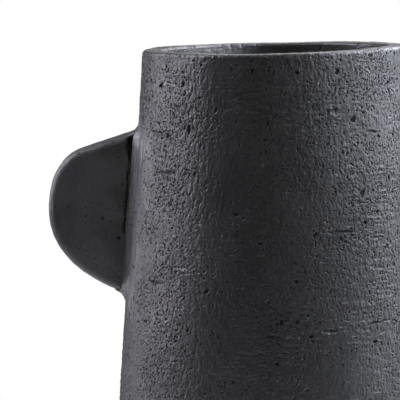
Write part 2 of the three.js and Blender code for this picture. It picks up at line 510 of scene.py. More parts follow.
@dataclass(frozen=True)
class Clay:
    """How the coarse clay's surface departs from the plain shape, everywhere on the pot.

    Attributes:
        profile: The plain shape of the side.
        joints: The heights of the seams between courses, in millimetres.
        smear: The patches beside the lugs that were wiped smooth.
        swells: The long unevenness of hand building.
        relief: The grain of the bare clay.
        drags: The level ridges that a coarse tool dragged.
        drag_patches: Where the drag marks show.
        drag_shown: The heights of that pattern between which they come in.
        wipes: The upright streaks of a wiped patch.
        strays: How the pits' edges are shaken, round the pot and up it.
        pits: The scatters of pits.
        crowds: Where pits crowd and where they are few.
        seam_wander: How a seam strays up and down.
        seam_shown: The heights of its own pattern between which a seam comes in.
        seam_breaks: Where a seam is broken off.
        seam_unbroken: The heights of that pattern between which it comes back.
        seam_half: Half a seam's width, in millimetres.
        seam_depth: A seam's depth, in millimetres.
        ragged: How the single marks' edges stray up and down.
        ragged_round: How much of that they stray round the pot, as a share.
        uneven: How the single marks' depth varies, as a share of it.
        smear_cover: How much of the grain and the pits a wiped patch hides, from 0 to 1.
        rub_cover: How much of them the rubbed front hides, from 0 to 1.
        rub_clear: How many more pits the rubbed front has lost, from 0 to 1.
        crowding: How thickly the bare clay is pitted on the whole, how far that swings, and its most.
        hollow_full: The depth from which a pit counts as a full hollow, in millimetres.
        rub_polish: How smooth the rubbed front is, from 0 to 1.
        smear_polish: How smooth a wiped patch is, from 0 to 1.
        rubbed_bearing: The middle of the rubbed front, in radians.
        rubbed_half: Half the way round that it covers.
        rubbed_fade: The width of its soft edge.
        inner_highlight_bearing: The middle of the highlight painted on the inside wall in paler slip colour.
        inner_highlight_half: Half the way round that it covers.
        inner_highlight_fade: The width of its soft edge.
    """

    profile: Profile
    joints: tuple[float, ...]
    smear: Smear = field(default_factory=Smear)
    swells: tuple[Waves, ...] = (
        Waves(3, (70.0, 70.0, 60.0), 0.55),
        Waves(5, (26.0, 26.0, 30.0), 0.16),
        Waves(8, (10.0, 10.0, 12.0), 0.07),
    )
    relief: tuple[Waves, ...] = (
        Waves(11, (3.1, 3.1, 3.6), 0.07),
        Waves(13, (0.95, 0.95, 1.05), 0.145),
        Waves(17, (1.0, 1.0, 3.2), 0.14),
    )
    drags: Waves = Waves(19, (7.0, 7.0, 1.1), 0.19)
    drag_patches: Waves = Waves(23, (34.0, 34.0, 24.0), 1.0)
    drag_shown: tuple[float, float] = (-0.1, 0.5)
    wipes: Waves = Waves(29, (1.6, 1.6, 18.0), 0.20)
    strays: tuple[Waves, ...] = (Waves(33, (1.2, 1.2, 1.2), 0.45), Waves(35, (1.2, 1.2, 1.2), 0.45))
    pits: tuple[Pits, ...] = (
        Pits(31, (9.0, 9.0), 0.22, 0.06, 0.13, 1.5),
        Pits(37, (4.0, 4.2), 0.26, 0.09, 0.16, 0.80),
        Pits(41, (2.0, 2.1), 0.75, 0.16, 0.27, 0.70),
        Pits(43, (5.0, 14.0), 0.14, 0.06, 0.10, 0.90),
    )
    crowds: Waves = Waves(47, (16.0, 16.0, 20.0), 1.0)
    seam_wander: Waves = Waves(53, (12.0, 12.0, 1.0), 1.8)
    seam_shown: tuple[float, float] = (0.3, 0.8)
    seam_breaks: Waves = Waves(57, (2.6, 2.6, 2.6), 1.0)
    seam_unbroken: tuple[float, float] = (-0.1, 0.4)
    seam_half: float = 0.8
    seam_depth: float = 0.14
    ragged: Waves = Waves(59, (2.3, 2.3, 2.3), 0.5)
    ragged_round: float = 0.6
    uneven: Waves = Waves(60, (1.6, 1.6, 1.6), 0.7)
    smear_cover: float = 0.75
    rub_cover: float = 0.2
    rub_clear: float = 0.25
    crowding: tuple[float, float, float] = (0.75, 0.75, 1.4)
    hollow_full: float = 0.40
    rub_polish: float = 0.6
    smear_polish: float = 0.5
    rubbed_bearing: float = math.radians(-6.0)
    rubbed_half: float = math.radians(16.0)
    rubbed_fade: float = math.radians(22.0)
    inner_highlight_bearing: float = math.radians(-146.0)
    inner_highlight_half: float = math.radians(12.0)
    inner_highlight_fade: float = math.radians(16.0)

    def laid_out(self, points: Array) -> Array:
        """Lays the surface out flat: the way round at one girth, and the way up and over the rim.

        Args:
            points: Places on the pot, in millimetres.

        Returns:
            Millimetres round and up, one row of two for each place.
        """
        radius = np.hypot(points[:, 0], points[:, 1])
        around = bearing_of(points) / TURN * GIRTH
        return np.stack([around, points[:, 2] + self.profile.outer(points[:, 2]) - radius], axis=1)

    def rubbed(self, points: Array) -> Array:
        """Gives how far the palm that steadied the pot rubbed the front smooth, from 0 to 1."""
        off = np.abs(bearing_of(points) - self.rubbed_bearing)
        return smoothstep(self.rubbed_half + self.rubbed_fade, self.rubbed_half, off)

    def painted_inner_highlight(self, points: Array) -> Array:
        """Gives the painted highlight on the inside, on one side of the back, from 0 to 1; it is drawn as
        paler slip colour.
        """
        off = np.abs(half_turned(bearing_of(points) - self.inner_highlight_bearing))
        return smoothstep(self.inner_highlight_half + self.inner_highlight_fade, self.inner_highlight_half, off)

    def creases(self, points: Array) -> Array:
        """Gives the depth of the part-closed seams between courses.

        Each seam wanders up and down along its course, is a bell curve across, and shows only here
        and there.

        Args:
            points: Places in space, in millimetres.

        Returns:
            The depth at each place, in millimetres.
        """
        level = points * [1.0, 1.0, 0.0]
        wander = self.seam_wander.at(level)
        depth = np.zeros(len(points))
        for seed, joint in enumerate(self.joints, FIRST_SEAM_SEED):
            shown = smoothstep(*self.seam_shown, Waves(seed, SEAM_RUNS, 1.0).at(level))
            across = (points[:, 2] - joint - wander) / self.seam_half
            depth = np.maximum(depth, self.seam_depth * shown * np.exp(-(across**2)))
        return depth * smoothstep(*self.seam_unbroken, self.seam_breaks.at(points))

    def surface(self, points: Array, marks: Sequence[Mark]) -> Surface:
        """Works out how far the clay stands off the plain shape, and what state it is in.

        Args:
            points: Places on the plain shape, in millimetres.
            marks: The single cracks and pits to add.

        Returns:
            The swells, the relief on top of them, and the state of the clay at each place.
        """
        smeared = self.smear.at(points, self.profile.height)
        rubbed = self.rubbed(points)
        bare = (1.0 - self.smear_cover * smeared) * (1.0 - self.rub_cover * rubbed)
        usual, swing, most = self.crowding
        crowd = np.clip(usual + swing * self.crowds.at(points), 0.0, most)
        crowd = crowd * bare * (1.0 - self.rub_clear * rubbed)
        spread = self.laid_out(points) + np.stack([wave.at(points) for wave in self.strays], axis=1)
        pits = np.maximum(self.creases(points) * bare, self.marked(points, marks))
        for layer in self.pits:
            pits = np.maximum(pits, layer.at(spread, crowd))
        dragged = smoothstep(*self.drag_shown, self.drag_patches.at(points))
        grain = (sum(wave.at(points) for wave in self.relief) + self.drags.at(points) * dragged) * bare
        grain += self.wipes.at(points) * smeared
        return Surface(
            swell=sum(wave.at(points) for wave in self.swells),
            relief=grain - pits,
            hollow=np.clip(pits / self.hollow_full, 0.0, 1.0),
            smeared=smeared,
            polished=np.maximum(self.rub_polish * rubbed, self.smear_polish * smeared),
            crowd=crowd,
        )

    def marked(self, points: Array, marks: Sequence[Mark]) -> Array:
        """Gives the depth of the single marks, with ragged edges, the deepest where they cross.

        Args:
            points: Places in space, in millimetres.
            marks: The cracks, drag marks and large pits.

        Returns:
            The depth at each place, in millimetres.
        """
        radius = np.hypot(points[:, 0], points[:, 1])
        bearing = bearing_of(points)
        jitter = self.ragged.at(points)
        uneven = 1.0 + self.uneven.at(points)
        depth = np.zeros(len(points))
        for mark in marks:
            rise = points[:, 2] - (self.profile.height - mark.drop)
            near = np.flatnonzero(np.abs(rise) < mark.length + mark.width)
            turn = half_turned(bearing[near] - math.radians(mark.bearing))
            run = turn * radius[near] + self.ragged_round * jitter[near]
            found = mark.at(run, rise[near] + jitter[near])
            depth[near] = np.maximum(depth[near], found * uneven[near])
        return depth


# ---- Meshes ----


def grid_quads(rows: int, columns: int, closed_rows: bool) -> Array:
    """Joins a grid of points into four-sided faces; its columns always close on themselves.

    Args:
        rows: How many rows of points.
        columns: How many points in each row.
        closed_rows: Whether the last row joins the first.

    Returns:
        Point numbers, four for each face, with the face pointing to the left of the way up.
    """
    row = np.arange(rows if closed_rows else rows - 1)[:, None]
    column = np.arange(columns)[None, :]
    above = (row + 1) % rows
    beside = (column + 1) % columns
    corners = [(row, column), (row, beside), (above, beside), (above, column)]
    parts = [up * columns + along for up, along in corners]
    return np.stack(np.broadcast_arrays(*parts), axis=-1).reshape(-1, 4)


def make_piece(
    name: str, points: Array, faces: Sequence[Array], flat: Array, surface: Surface
) -> bpy.types.Object:
    """Puts a closed surface into a new object at the origin.

    Args:
        name: The piece's name.
        points: Places in millimetres, one row of three for each point.
        faces: Arrays of point numbers, one row for each face; the arrays may differ in width.
        flat: Whether each face is shaded flat, in the order of the faces.
        surface: The state of the clay at each point.

    Returns:
        The new object.
    """
    corners = np.concatenate([part.ravel() for part in faces]).astype(np.int32)
    widths = np.concatenate([np.full(len(part), part.shape[1]) for part in faces])
    starts = np.concatenate([[0], np.cumsum(widths)[:-1]]).astype(np.int32)
    mesh = bpy.data.meshes.new(name)
    mesh.vertices.add(len(points))
    mesh.vertices.foreach_set("co", (points * MM).astype(np.float32).ravel())
    mesh.loops.add(len(corners))
    mesh.loops.foreach_set("vertex_index", corners)
    mesh.polygons.add(len(starts))
    mesh.polygons.foreach_set("loop_start", starts)
    mesh.polygons.foreach_set("use_smooth", ~flat)
    for attribute, values in surface.states().items():
        layer = mesh.attributes.new(attribute, "FLOAT", "POINT")
        layer.data.foreach_set("value", values.astype(np.float32))
    mesh.update(calc_edges=True)
    edges = np.empty(len(corners), np.int32)
    mesh.loops.foreach_get("edge_index", edges)
    sharp = np.zeros(len(mesh.edges), bool)
    sharp[edges[np.repeat(flat, widths)]] = True
    mesh.attributes.new("sharp_edge", "BOOLEAN", "EDGE").data.foreach_set("value", sharp)
    piece = bpy.data.objects.new(name, mesh)
    bpy.context.scene.collection.objects.link(piece)
    return piece


def stand_in(piece: bpy.types.Object, node: str, material: bpy.types.Material) -> None:
    """Lets a finished piece take the place of its solid, in its own clay.

    Args:
        piece: The finished piece.
        node: The solid that it stands for.
        material: Its finish.
    """
    piece.data.materials.append(material)
    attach(piece, "root")
    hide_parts(node)
    log.info("%s: %d points for %s", piece.name, len(piece.data.vertices), node)


# ---- Shader graphs ----


class Value:
    """A number or colour that varies over a surface, with arithmetic on its numbers."""

    def __init__(self, graph: "Graph", socket: bpy.types.NodeSocket) -> None:
        """Wraps an output socket of a graph."""
        self.graph = graph
        self.socket = socket

    def maths(self, operation: str, *operands: "Value | float") -> "Value":
        """Adds a Math node for an operation on some operands, and wraps its result."""
        inputs = dict(enumerate(operands))
        return self.graph.add("ShaderNodeMath", {"operation": operation}, inputs, 0)

    def __add__(self, other: "Value | float") -> "Value":
        """Returns this plus other."""
        return self.maths("ADD", self, other)

    def __radd__(self, other: float) -> "Value":
        """Returns other plus this."""
        return self.maths("ADD", other, self)

    def __sub__(self, other: "Value | float") -> "Value":
        """Returns this minus other."""
        return self.maths("SUBTRACT", self, other)

    def __rsub__(self, other: float) -> "Value":
        """Returns other minus this."""
        return self.maths("SUBTRACT", other, self)

    def __mul__(self, other: "Value | float") -> "Value":
        """Returns this times other."""
        return self.maths("MULTIPLY", self, other)

    def __rmul__(self, other: float) -> "Value":
        """Returns other times this."""
        return self.maths("MULTIPLY", other, self)

    def step(self, low: float, high: float) -> "Value":
        """Returns a smooth rise from 0 at low to 1 at high."""
        inputs = {"Value": self, "From Min": low, "From Max": high}
        return self.graph.add("ShaderNodeMapRange", {"interpolation_type": "SMOOTHSTEP"}, inputs, "Result")


Input = Value | float | Sequence[float]


class Graph:
    """The nodes of one material or of the world."""

    def __init__(self, tree: bpy.types.NodeTree) -> None:
        """Starts on an empty node tree."""
        self.tree = tree
        tree.nodes.clear()

    def add(
        self, kind: str, settings: dict[str, object], inputs: dict[str | int, Input], output: str | int
    ) -> Value:
        """Adds a node, sets it up, feeds its sockets, and wraps one of its outputs.

        Args:
            kind: The node's type.
            settings: Its own settings, which are set first.
            inputs: A value or a link for each named or numbered socket.
            output: The output to wrap, by name or number.

        Returns:
            The wrapped output.
        """
        node = self.tree.nodes.new(kind)
        for name, setting in settings.items():
            setattr(node, name, setting)
        for name, given in inputs.items():
            if isinstance(given, Value):
                self.tree.links.new(given.socket, node.inputs[name])
            else:
                node.inputs[name].default_value = given
        return Value(self, node.outputs[output])

    def finish(self, kind: str, shader: Value) -> None:
        """Joins a shader to a new output node."""
        node = self.tree.nodes.new(kind)
        self.tree.links.new(shader.socket, node.inputs["Surface"])

    def noise(self, where: Value, scale: float, detail: float, roughness: float = 0.55) -> Value:
        """Adds a noise texture; scale is in bumps to the metre of its coordinates."""
        inputs = {"Vector": where, "Scale": scale, "Detail": detail, "Roughness": roughness}
        return self.add("ShaderNodeTexNoise", {}, inputs, 0)

    def stretched(self, where: Value, scale: Sequence[float]) -> Value:
        """Scales coordinates along each axis."""
        return self.add("ShaderNodeMapping", {}, {"Vector": where, "Scale": scale}, 0)

    def mix(self, share: Value, first: Input, second: Input) -> Value:
        """Mixes two colours."""
        settings = {"data_type": "RGBA"}
        return self.add("ShaderNodeMix", settings, {0: share, 6: first, 7: second}, 2)

    def vector(self, operation: str, *operands: Input, output: str | int = 0) -> Value:
        """Adds a Vector Math node for an operation on some operands."""
        return self.add("ShaderNodeVectorMath", {"operation": operation}, dict(enumerate(operands)), output)

    def part(self, colour: Value, number: int) -> Value:
        """Takes the red, green or blue of a colour, numbered from 0."""
        return self.add("ShaderNodeSeparateColor", {}, {0: colour}, number)

    def cells(self, where: Value, scale: float) -> tuple[Value, Value]:
        """Splits space into cells, each round a point of its own.

        Args:
            where: The coordinates.
            scale: Cells to the metre.

        Returns:
            The distance from the cell's point, in cells, and the cell's own random colour.
        """
        inputs = {"Vector": where, "Scale": scale}
        distance = self.add("ShaderNodeTexVoronoi", {}, inputs, "Distance")
        return distance, self.add("ShaderNodeTexVoronoi", {}, inputs, "Color")

    def surface(self, inputs: dict[str | int, Input]) -> None:
        """Ends a material in a Principled shader with these sockets."""
        self.finish("ShaderNodeOutputMaterial", self.add("ShaderNodeBsdfPrincipled", {}, inputs, "BSDF"))

    def attribute(self, name: str) -> Value:
        """Reads a number stored on the mesh."""
        return self.add("ShaderNodeAttribute", {"attribute_name": name}, {}, "Fac")


def grey(value: float) -> tuple[float, float, float, float]:
    """Makes a neutral colour of a brightness."""
    return (value, value, value, 1.0)


@dataclass(frozen=True)
class BlackClay:
    """Clay fired black in smoke: a dark body, paler where coated with slip (partly a painted sheen and
    highlight), and rougher in its pits, with painted shade there.

    Attributes:
        slot: The record's slot that it is the finish of.
        dark: The body's reflectance.
        light: The reflectance of its paler clouds.
        slip_and_sheen: The reflectance of the paler slip, whose colour is partly a painted sheen beside the
            lugs and a painted highlight on the inner wall.
        polished_rough: The roughness of the clay where it was rubbed.
        open_rough: The roughness of the open clay.
        grain: The height of the finest grain, in metres.
        rust: The colour of the few rusty grains of sand.
        cloud_scale: Clouds of paler clay to the metre.
        speckle_scale: Specks to the metre.
        grain_scale: Grains to the metre.
        stroke_scale: Upright strokes of the wiping hand to the metre, along X, Y and Z.
        shake_scale: Wiggles to the metre in the edges of what is drawn on the clay.
        shake: How far those edges are moved, in metres, times two.
        pin_scales: Cells to the metre for the larger and the smaller pinholes.
        pin_shares: How many of each one's cells hold a pinhole, from 0 to 1.
        rust_scale: Cells to the metre that may hold a rusty grain.
    """

    slot: Slot
    dark: float = 0.017
    light: float = 0.030
    slip_and_sheen: float = 0.095
    polished_rough: float = 0.34
    open_rough: float = 0.41
    grain: float = 0.00044
    rust: tuple[float, float, float, float] = (0.16, 0.060, 0.030, 1.0)
    cloud_scale: float = 38.0
    speckle_scale: float = 800.0
    grain_scale: float = 850.0
    stroke_scale: tuple[float, float, float] = (700.0, 700.0, 60.0)
    shake_scale: float = 1300.0
    shake: float = 0.0011
    pin_scales: tuple[float, float] = (560.0, 950.0)
    pin_shares: tuple[float, float] = (0.95, 0.8)
    rust_scale: float = 260.0

    def material(self) -> bpy.types.Material:
        """Builds the material: its colour, then how rough it is, then its finest relief.

        Returns:
            A new material that reads the piece's own place and the state of its clay.
        """
        material = bpy.data.materials.new(self.slot.value)
        material.use_nodes = True
        graph = Graph(material.node_tree)
        place = graph.add("ShaderNodeTexCoord", {}, {}, "Object")
        smeared = graph.attribute("smeared")
        polished = graph.attribute("polished")
        crowd = graph.attribute("crowd")
        ragged = self.ragged(graph, place)
        larger, smaller = (
            self.pinholes(graph, ragged, scale, share, crowd)
            for scale, share in zip(self.pin_scales, self.pin_shares)
        )
        pinholes = larger + smaller
        hollow = (graph.attribute("hollow") + pinholes).step(0.05, 0.8)

        # The colour: clouds, specks and strokes, then slip (partly painted sheen), rust, and painted shade
        # in the hollows.
        clouds = graph.noise(place, self.cloud_scale, 3.0).step(0.35, 0.68)
        speckle = graph.noise(place, self.speckle_scale, 2.0, 0.6)
        strokes = graph.noise(graph.stretched(place, self.stroke_scale), 1.0, 3.0)
        shade = (clouds * 0.45 + speckle * 0.25 + strokes * 0.3).step(0.2, 0.8)
        body = graph.mix(shade, grey(self.dark), grey(self.light))
        # Paler slip colour: on the wiped patches partly a painted sheen, and on the inner wall a painted
        # highlight.
        slip_and_sheen = graph.mix(strokes.step(0.3, 0.7), grey(self.slip_and_sheen * 0.6), grey(self.slip_and_sheen * 1.3))
        body = graph.mix(smeared, body, slip_and_sheen)
        body = graph.mix(self.rusty(graph, place), body, self.rust)
        # Painted shade: pits, pinholes, cracks, seams and the crevice at each lug's root are darkened.
        colour = graph.mix(hollow, body, grey(self.dark * 0.2))

        # How rough: more on the specks and in the hollows, less where the clay was rubbed.
        skin = speckle * 0.30 - clouds * 0.06 + (self.open_rough - 0.13)
        rough = skin - polished * (self.open_rough - self.polished_rough) + hollow * 0.35

        # The finest relief: grains, or strokes where the clay was rubbed, with the hollows sunk.
        coarse = graph.noise(place, self.grain_scale, 3.0, 0.7)
        height = coarse * (1.0 - polished * 0.8) + strokes * (polished * 0.25) - hollow * 0.9
        relief = {"Strength": 1.0, "Distance": self.grain, "Height": height}
        bump = graph.add("ShaderNodeBump", {}, relief, "Normal")
        graph.surface({"Base Color": colour, "Roughness": rough, "IOR": 1.5, "Normal": bump})
        return material

    def ragged(self, graph: Graph, place: Value) -> Value:
        """Shakes the place a little, so that what is drawn on it has uneven edges.

        Args:
            graph: The material's graph.
            place: Where on the piece.

        Returns:
            The place, moved by a noise's colour less its middle grey.
        """
        inputs = {"Vector": place, "Scale": self.shake_scale, "Detail": 1.0}
        shaken = graph.add("ShaderNodeTexNoise", {}, inputs, "Color")
        centred = graph.vector("SUBTRACT", shaken, (0.5, 0.5, 0.5))
        inputs = {0: centred, "Scale": self.shake}
        small = graph.add("ShaderNodeVectorMath", {"operation": "SCALE"}, inputs, 0)
        return graph.vector("ADD", place, small)

    def pinholes(self, graph: Graph, place: Value, scale: float, share: float, crowd: Value) -> Value:
        """Marks the smallest pits, which the colour darkens as painted shade: a spot of its own size in some
        of the cells of space.

        Args:
            graph: The material's graph.
            place: Where on the piece.
            scale: How many cells to the metre.
            share: How many of them hold a spot, from 0 to 1, where the clay is fully pitted.
            crowd: How thickly the clay is pitted.

        Returns:
            1 in the middle of a spot and 0 outside it.
        """
        distance, colour = graph.cells(place, scale)
        size = graph.part(colour, 0) * 0.2 + 0.2
        chosen = (crowd * share - graph.part(colour, 1)).step(-0.02, 0.02)
        return (size - distance).step(0.0, 0.09) * chosen

    def rusty(self, graph: Graph, place: Value) -> Value:
        """Marks the few rust-coloured grains of sand in the clay.

        Args:
            graph: The material's graph.
            place: Where on the piece.

        Returns:
            1 in the middle of a grain and 0 outside it.
        """
        distance, colour = graph.cells(place, self.rust_scale)
        chosen = graph.part(colour, 1).step(0.985, 0.99)
        return distance.step(0.20, 0.10) * chosen


# ---- The pot ----


@dataclass
class Vessel:
    """The stack of base slab, corner coil, wall courses and rim coil.

    Attributes:
        profile: The plain shape of the side.
        clay: How the surface departs from it.
        material: The wall's finish.
        marks: The single cracks and pits on the outside.
        columns: How many points go round.
        fine: The spacing of points round the front and up it, in millimetres.
        middling: The spacing of rows below the front's fine part.
        behind: The spacing of columns at the back.
        coarse: The spacing on the inside and under the base.
        fine_bearing: The middle of the finely divided front, in radians.
        fine_half: Half the way round that it covers.
        fine_blend: How far on each side of its end the spacing changes over.
        fine_from: The height from which rows are fine, in millimetres.
        finest: The spacing of rows beside a mark.
        near_mark: How far from a mark's middle the rows are that close.
        scarf: How much higher a joint between courses lies on the inside.
        rim_edge: The radius of the rim's two edges.
        foot_edge: The radius of the foot's edge.
        rim_lean: How far the rim rises at its right and falls at its left.
        lean_depth: How far below the rim the lean dies out.
        rim_ripple: The ups and downs of the rim.
        corner: The corner coil's width and height.
        corner_hollow: How far its face is thumbed in, as a share of its size.
        coil_steps: Its spacing of rows on the floor, up the wall and over its top.
        edge_rows: How many rows each of the rim's edges has.
        foot_rows: How many rows the foot's edge has.
        thumb_rows: How many rows the coil's thumbed face has.
        joint_gap: The gap between touching solids.
        inside_open: How much of the outside's pits and grain the inside shows, from 0 to 1.
        under_open: How much of them the underside shows.
        inside_polish: How smooth the inside was wiped, from 0 to 1.
        inside_crowd: How thickly the inside is pitted, as a share of the outside.
        rim_open: How open the rim coil is on its outside, outer edge, top, inner edge and inside.
    """

    profile: Profile
    clay: Clay
    material: bpy.types.Material
    marks: Sequence[Mark]
    columns: int = 860
    fine: float = 0.45
    middling: float = 1.0
    behind: float = 1.6
    coarse: float = 3.0
    fine_bearing: float = math.radians(-20.0)
    fine_half: float = math.radians(105.0)
    fine_blend: float = 0.2
    fine_from: float = 140.0
    finest: float = 0.3
    near_mark: float = 1.2
    scarf: float = 6.0
    rim_edge: float = 1.8
    foot_edge: float = 4.0
    rim_lean: float = 1.7
    lean_depth: float = 60.0
    rim_ripple: Waves = Waves(67, (38.0, 38.0, 1.0), 0.35)
    corner: float = 14.0
    corner_hollow: float = 0.8
    coil_steps: tuple[float, float, float] = (3.0, 2.0, 1.0)
    edge_rows: int = 6
    foot_rows: int = 8
    thumb_rows: int = 24
    joint_gap: float = 0.3
    inside_open: float = 0.35
    under_open: float = 0.3
    inside_polish: float = 0.9
    inside_crowd: float = 0.2
    rim_open: tuple[float, ...] = (1.0, 0.9, 0.8, 0.8, 0.5)

    def steps(self, start: float, end: float, size: float) -> Array:
        """Divides a stretch into even steps no longer than a size, without its end."""
        count = max(1, math.ceil(abs(end - start) / size))
        return start + (end - start) * np.arange(count) / count

    def bearings(self) -> Array:
        """Lists the bearings of the columns, closer together round the front than at the back.

        The closeness along the way round is one over the wanted spacing, and the columns divide its
        running sum evenly.

        Returns:
            Angles round the pot from its front, in radians.
        """
        angle = np.linspace(-math.pi, math.pi, BEARING_SAMPLES)
        off = np.abs(half_turned(angle - self.fine_bearing))
        share = smoothstep(self.fine_half - self.fine_blend, self.fine_half + self.fine_blend, off)
        spacing = self.fine + (self.behind - self.fine) * share
        total = np.concatenate([[0.0], np.cumsum(1.0 / spacing[:-1])])
        return np.interp(np.arange(self.columns) / self.columns * total[-1], total, angle)

    def levels(self, foot: float, top: float) -> Array:
        """Lists the rows up the outside of a course, closer together along its long marks.

        Args:
            foot: The lowest row.
            top: The highest row.

        Returns:
            Heights from foot to top, both among them.
        """
        level = np.linspace(foot, top, LEVEL_SAMPLES)
        spacing = np.full(len(level), self.fine if top > self.fine_from else self.middling)
        for mark in self.marks:
            near = np.abs(level - self.profile.height + mark.drop) < self.near_mark
            spacing = np.where(near, self.finest, spacing)
        total = np.concatenate([[0.0], np.cumsum(1.0 / spacing[:-1])]) * (level[1] - level[0])
        count = math.ceil(total[-1])
        return np.interp(np.linspace(0.0, total[-1], count + 1), total, level)

    def spin(self, path: Array) -> Array:
        """Carries a path round the axis.

        Args:
            path: Radius and height of each row.

        Returns:
            One row of points for each place on the path.
        """
        bearing = self.bearings()
        radius = path[:, 0][:, None]
        level = np.broadcast_to(path[:, 1][:, None], (len(path), self.columns))
        return np.stack([radius * np.sin(bearing), -radius * np.cos(bearing), level], axis=-1)

    def settle(self, points: Array) -> Array:
        """Leans the rim: the top rises towards the right in step with its distance from the axis.

        Args:
            points: Places in millimetres.

        Returns:
            The places, moved up or down.
        """
        share = smoothstep(self.lean_depth, 0.0, self.profile.height - points[:, 2])
        ripple = self.rim_ripple.at(points * [1.0, 1.0, 0.0])
        moved = points.copy()
        moved[:, 2] += share * (self.rim_lean * points[:, 0] / self.profile.rim_radius + ripple)
        return moved

    def shape(
        self, path: Array, normal: Array, open_face: Array
    ) -> tuple[Array, Surface]:
        """Turns a path into a surface and works the clay's unevenness into it.

        Each place moves away from the clay by the swell, and by the relief times how open its row
        is. The inside is wiped smooth, has few pinholes, and a painted highlight on one side of the back.

        Args:
            path: Radius and height of each row.
            normal: The direction away from the clay at each row, as radius and height.
            open_face: How much of the outside's pits and grain each row shows, from 0 to 1.

        Returns:
            The places, and the state of the clay there.
        """
        plain = self.spin(path).reshape(-1, 3)
        outward = self.spin(normal).reshape(-1, 3)
        surface = self.clay.surface(plain, self.marks)
        share = np.repeat(open_face, self.columns)
        moved = plain + outward * (surface.swell + surface.relief * share)[:, None]
        surface.hollow *= share
        inside = share <= self.rim_open[-1]  # the rim's inside is the most open of the inside rows
        # A painted highlight on the inner wall, drawn as paler slip colour on one side of the back.
        surface.smeared = np.where(inside, self.clay.painted_inner_highlight(plain), surface.smeared)
        surface.polished = np.where(inside, self.inside_polish, surface.polished)
        surface.crowd = np.where(inside, self.inside_crowd * surface.crowd, surface.crowd)
        return self.settle(moved), surface

    def ring(
        self, name: str, path: Array, normal: Array, open_face: Array, joint: Array
    ) -> None:
        """Makes one closed ring from a path that ends where it starts.

        Args:
            name: The node that it stands for.
            path: Radius and height of each row, anticlockwise round the section.
            normal: The direction away from the clay at each row.
            open_face: How much of the outside's pits and grain each row shows.
            joint: Whether each row starts a joint face, which is shaded flat.
        """
        points, surface = self.shape(path, normal, open_face)
        faces = grid_quads(len(path), self.columns, True)
        piece = make_piece(f"{name}_clay", points, [faces], np.repeat(joint, self.columns), surface)
        stand_in(piece, name, self.material)

    def course(self, name: str, foot: float, top: float, foot_slant: float) -> None:
        """Makes one course: outside up, over the slanted joint, inside down, and back.

        Args:
            name: The course's node.
            foot: Its lower edge on the outside.
            top: Its upper edge on the outside.
            foot_slant: How much higher its lower edge is on the inside.
        """
        outside = self.levels(foot, top)
        inside = np.append(self.steps(top + self.scarf, foot + foot_slant, self.coarse), foot + foot_slant)
        path = np.concatenate([
            pairs(self.profile.outer(outside), outside),
            pairs(self.profile.inner(inside), inside),
        ])
        outwards = np.repeat([1.0, -1.0], [len(outside), len(inside)])
        normal = pairs(outwards, 0.0)
        open_face = np.where(outwards > 0.0, 1.0, self.inside_open)
        joint = np.zeros(len(path), bool)
        joint[[len(outside) - 1, len(path) - 1]] = True
        self.ring(name, path, normal, open_face, joint)

    def arc(
        self, centre: tuple[float, float], radius: float, start: float, end: float, count: int
    ) -> tuple[Array, Array]:
        """Follows a round corner, without its end.

        Args:
            centre: The corner's middle, as radius and height.
            radius: The corner's own radius.
            start: Where it starts, in degrees from outwards towards up.
            end: Where it ends, in degrees.
            count: How many places.

        Returns:
            The places, and the directions away from the middle.
        """
        angle = np.radians(start + (end - start) * np.arange(count) / count)
        direction = np.stack([np.cos(angle), np.sin(angle)], axis=1)
        return np.array(centre) + radius * direction, direction

    def rim(self, name: str, foot: float) -> None:
        """Makes the rim coil: up the outside, round the edge, over the flat top, and down the inside.

        Args:
            name: The rim coil's node.
            foot: Its lower edge on the outside.
        """
        shoulder = self.profile.height - self.rim_edge
        outside = self.levels(foot, shoulder)[:-1]
        edge = float(self.profile.outer(shoulder)) - self.rim_edge
        lip = float(self.profile.inner(shoulder)) + self.rim_edge
        first, first_way = self.arc((edge, shoulder), self.rim_edge, 0.0, 90.0, self.edge_rows)
        top = self.steps(edge, lip, self.fine)
        second, second_way = self.arc((lip, shoulder), self.rim_edge, 90.0, 180.0, self.edge_rows)
        low = foot + self.scarf
        inside = np.append(self.steps(shoulder, low, self.fine), low)
        path = np.concatenate([
            pairs(self.profile.outer(outside), outside),
            first,
            pairs(top, self.profile.height),
            second,
            pairs(self.profile.inner(inside), inside),
        ])
        normal = np.concatenate([
            np.tile([1.0, 0.0], (len(outside), 1)),
            first_way,
            np.tile([0.0, 1.0], (len(top), 1)),
            second_way,
            np.tile([-1.0, 0.0], (len(inside), 1)),
        ])
        open_face = np.repeat(self.rim_open, [len(outside), len(first), len(top), len(second), len(inside)])
        joint = np.zeros(len(path), bool)
        joint[-1] = True
        self.ring(name, path, normal, open_face, joint)

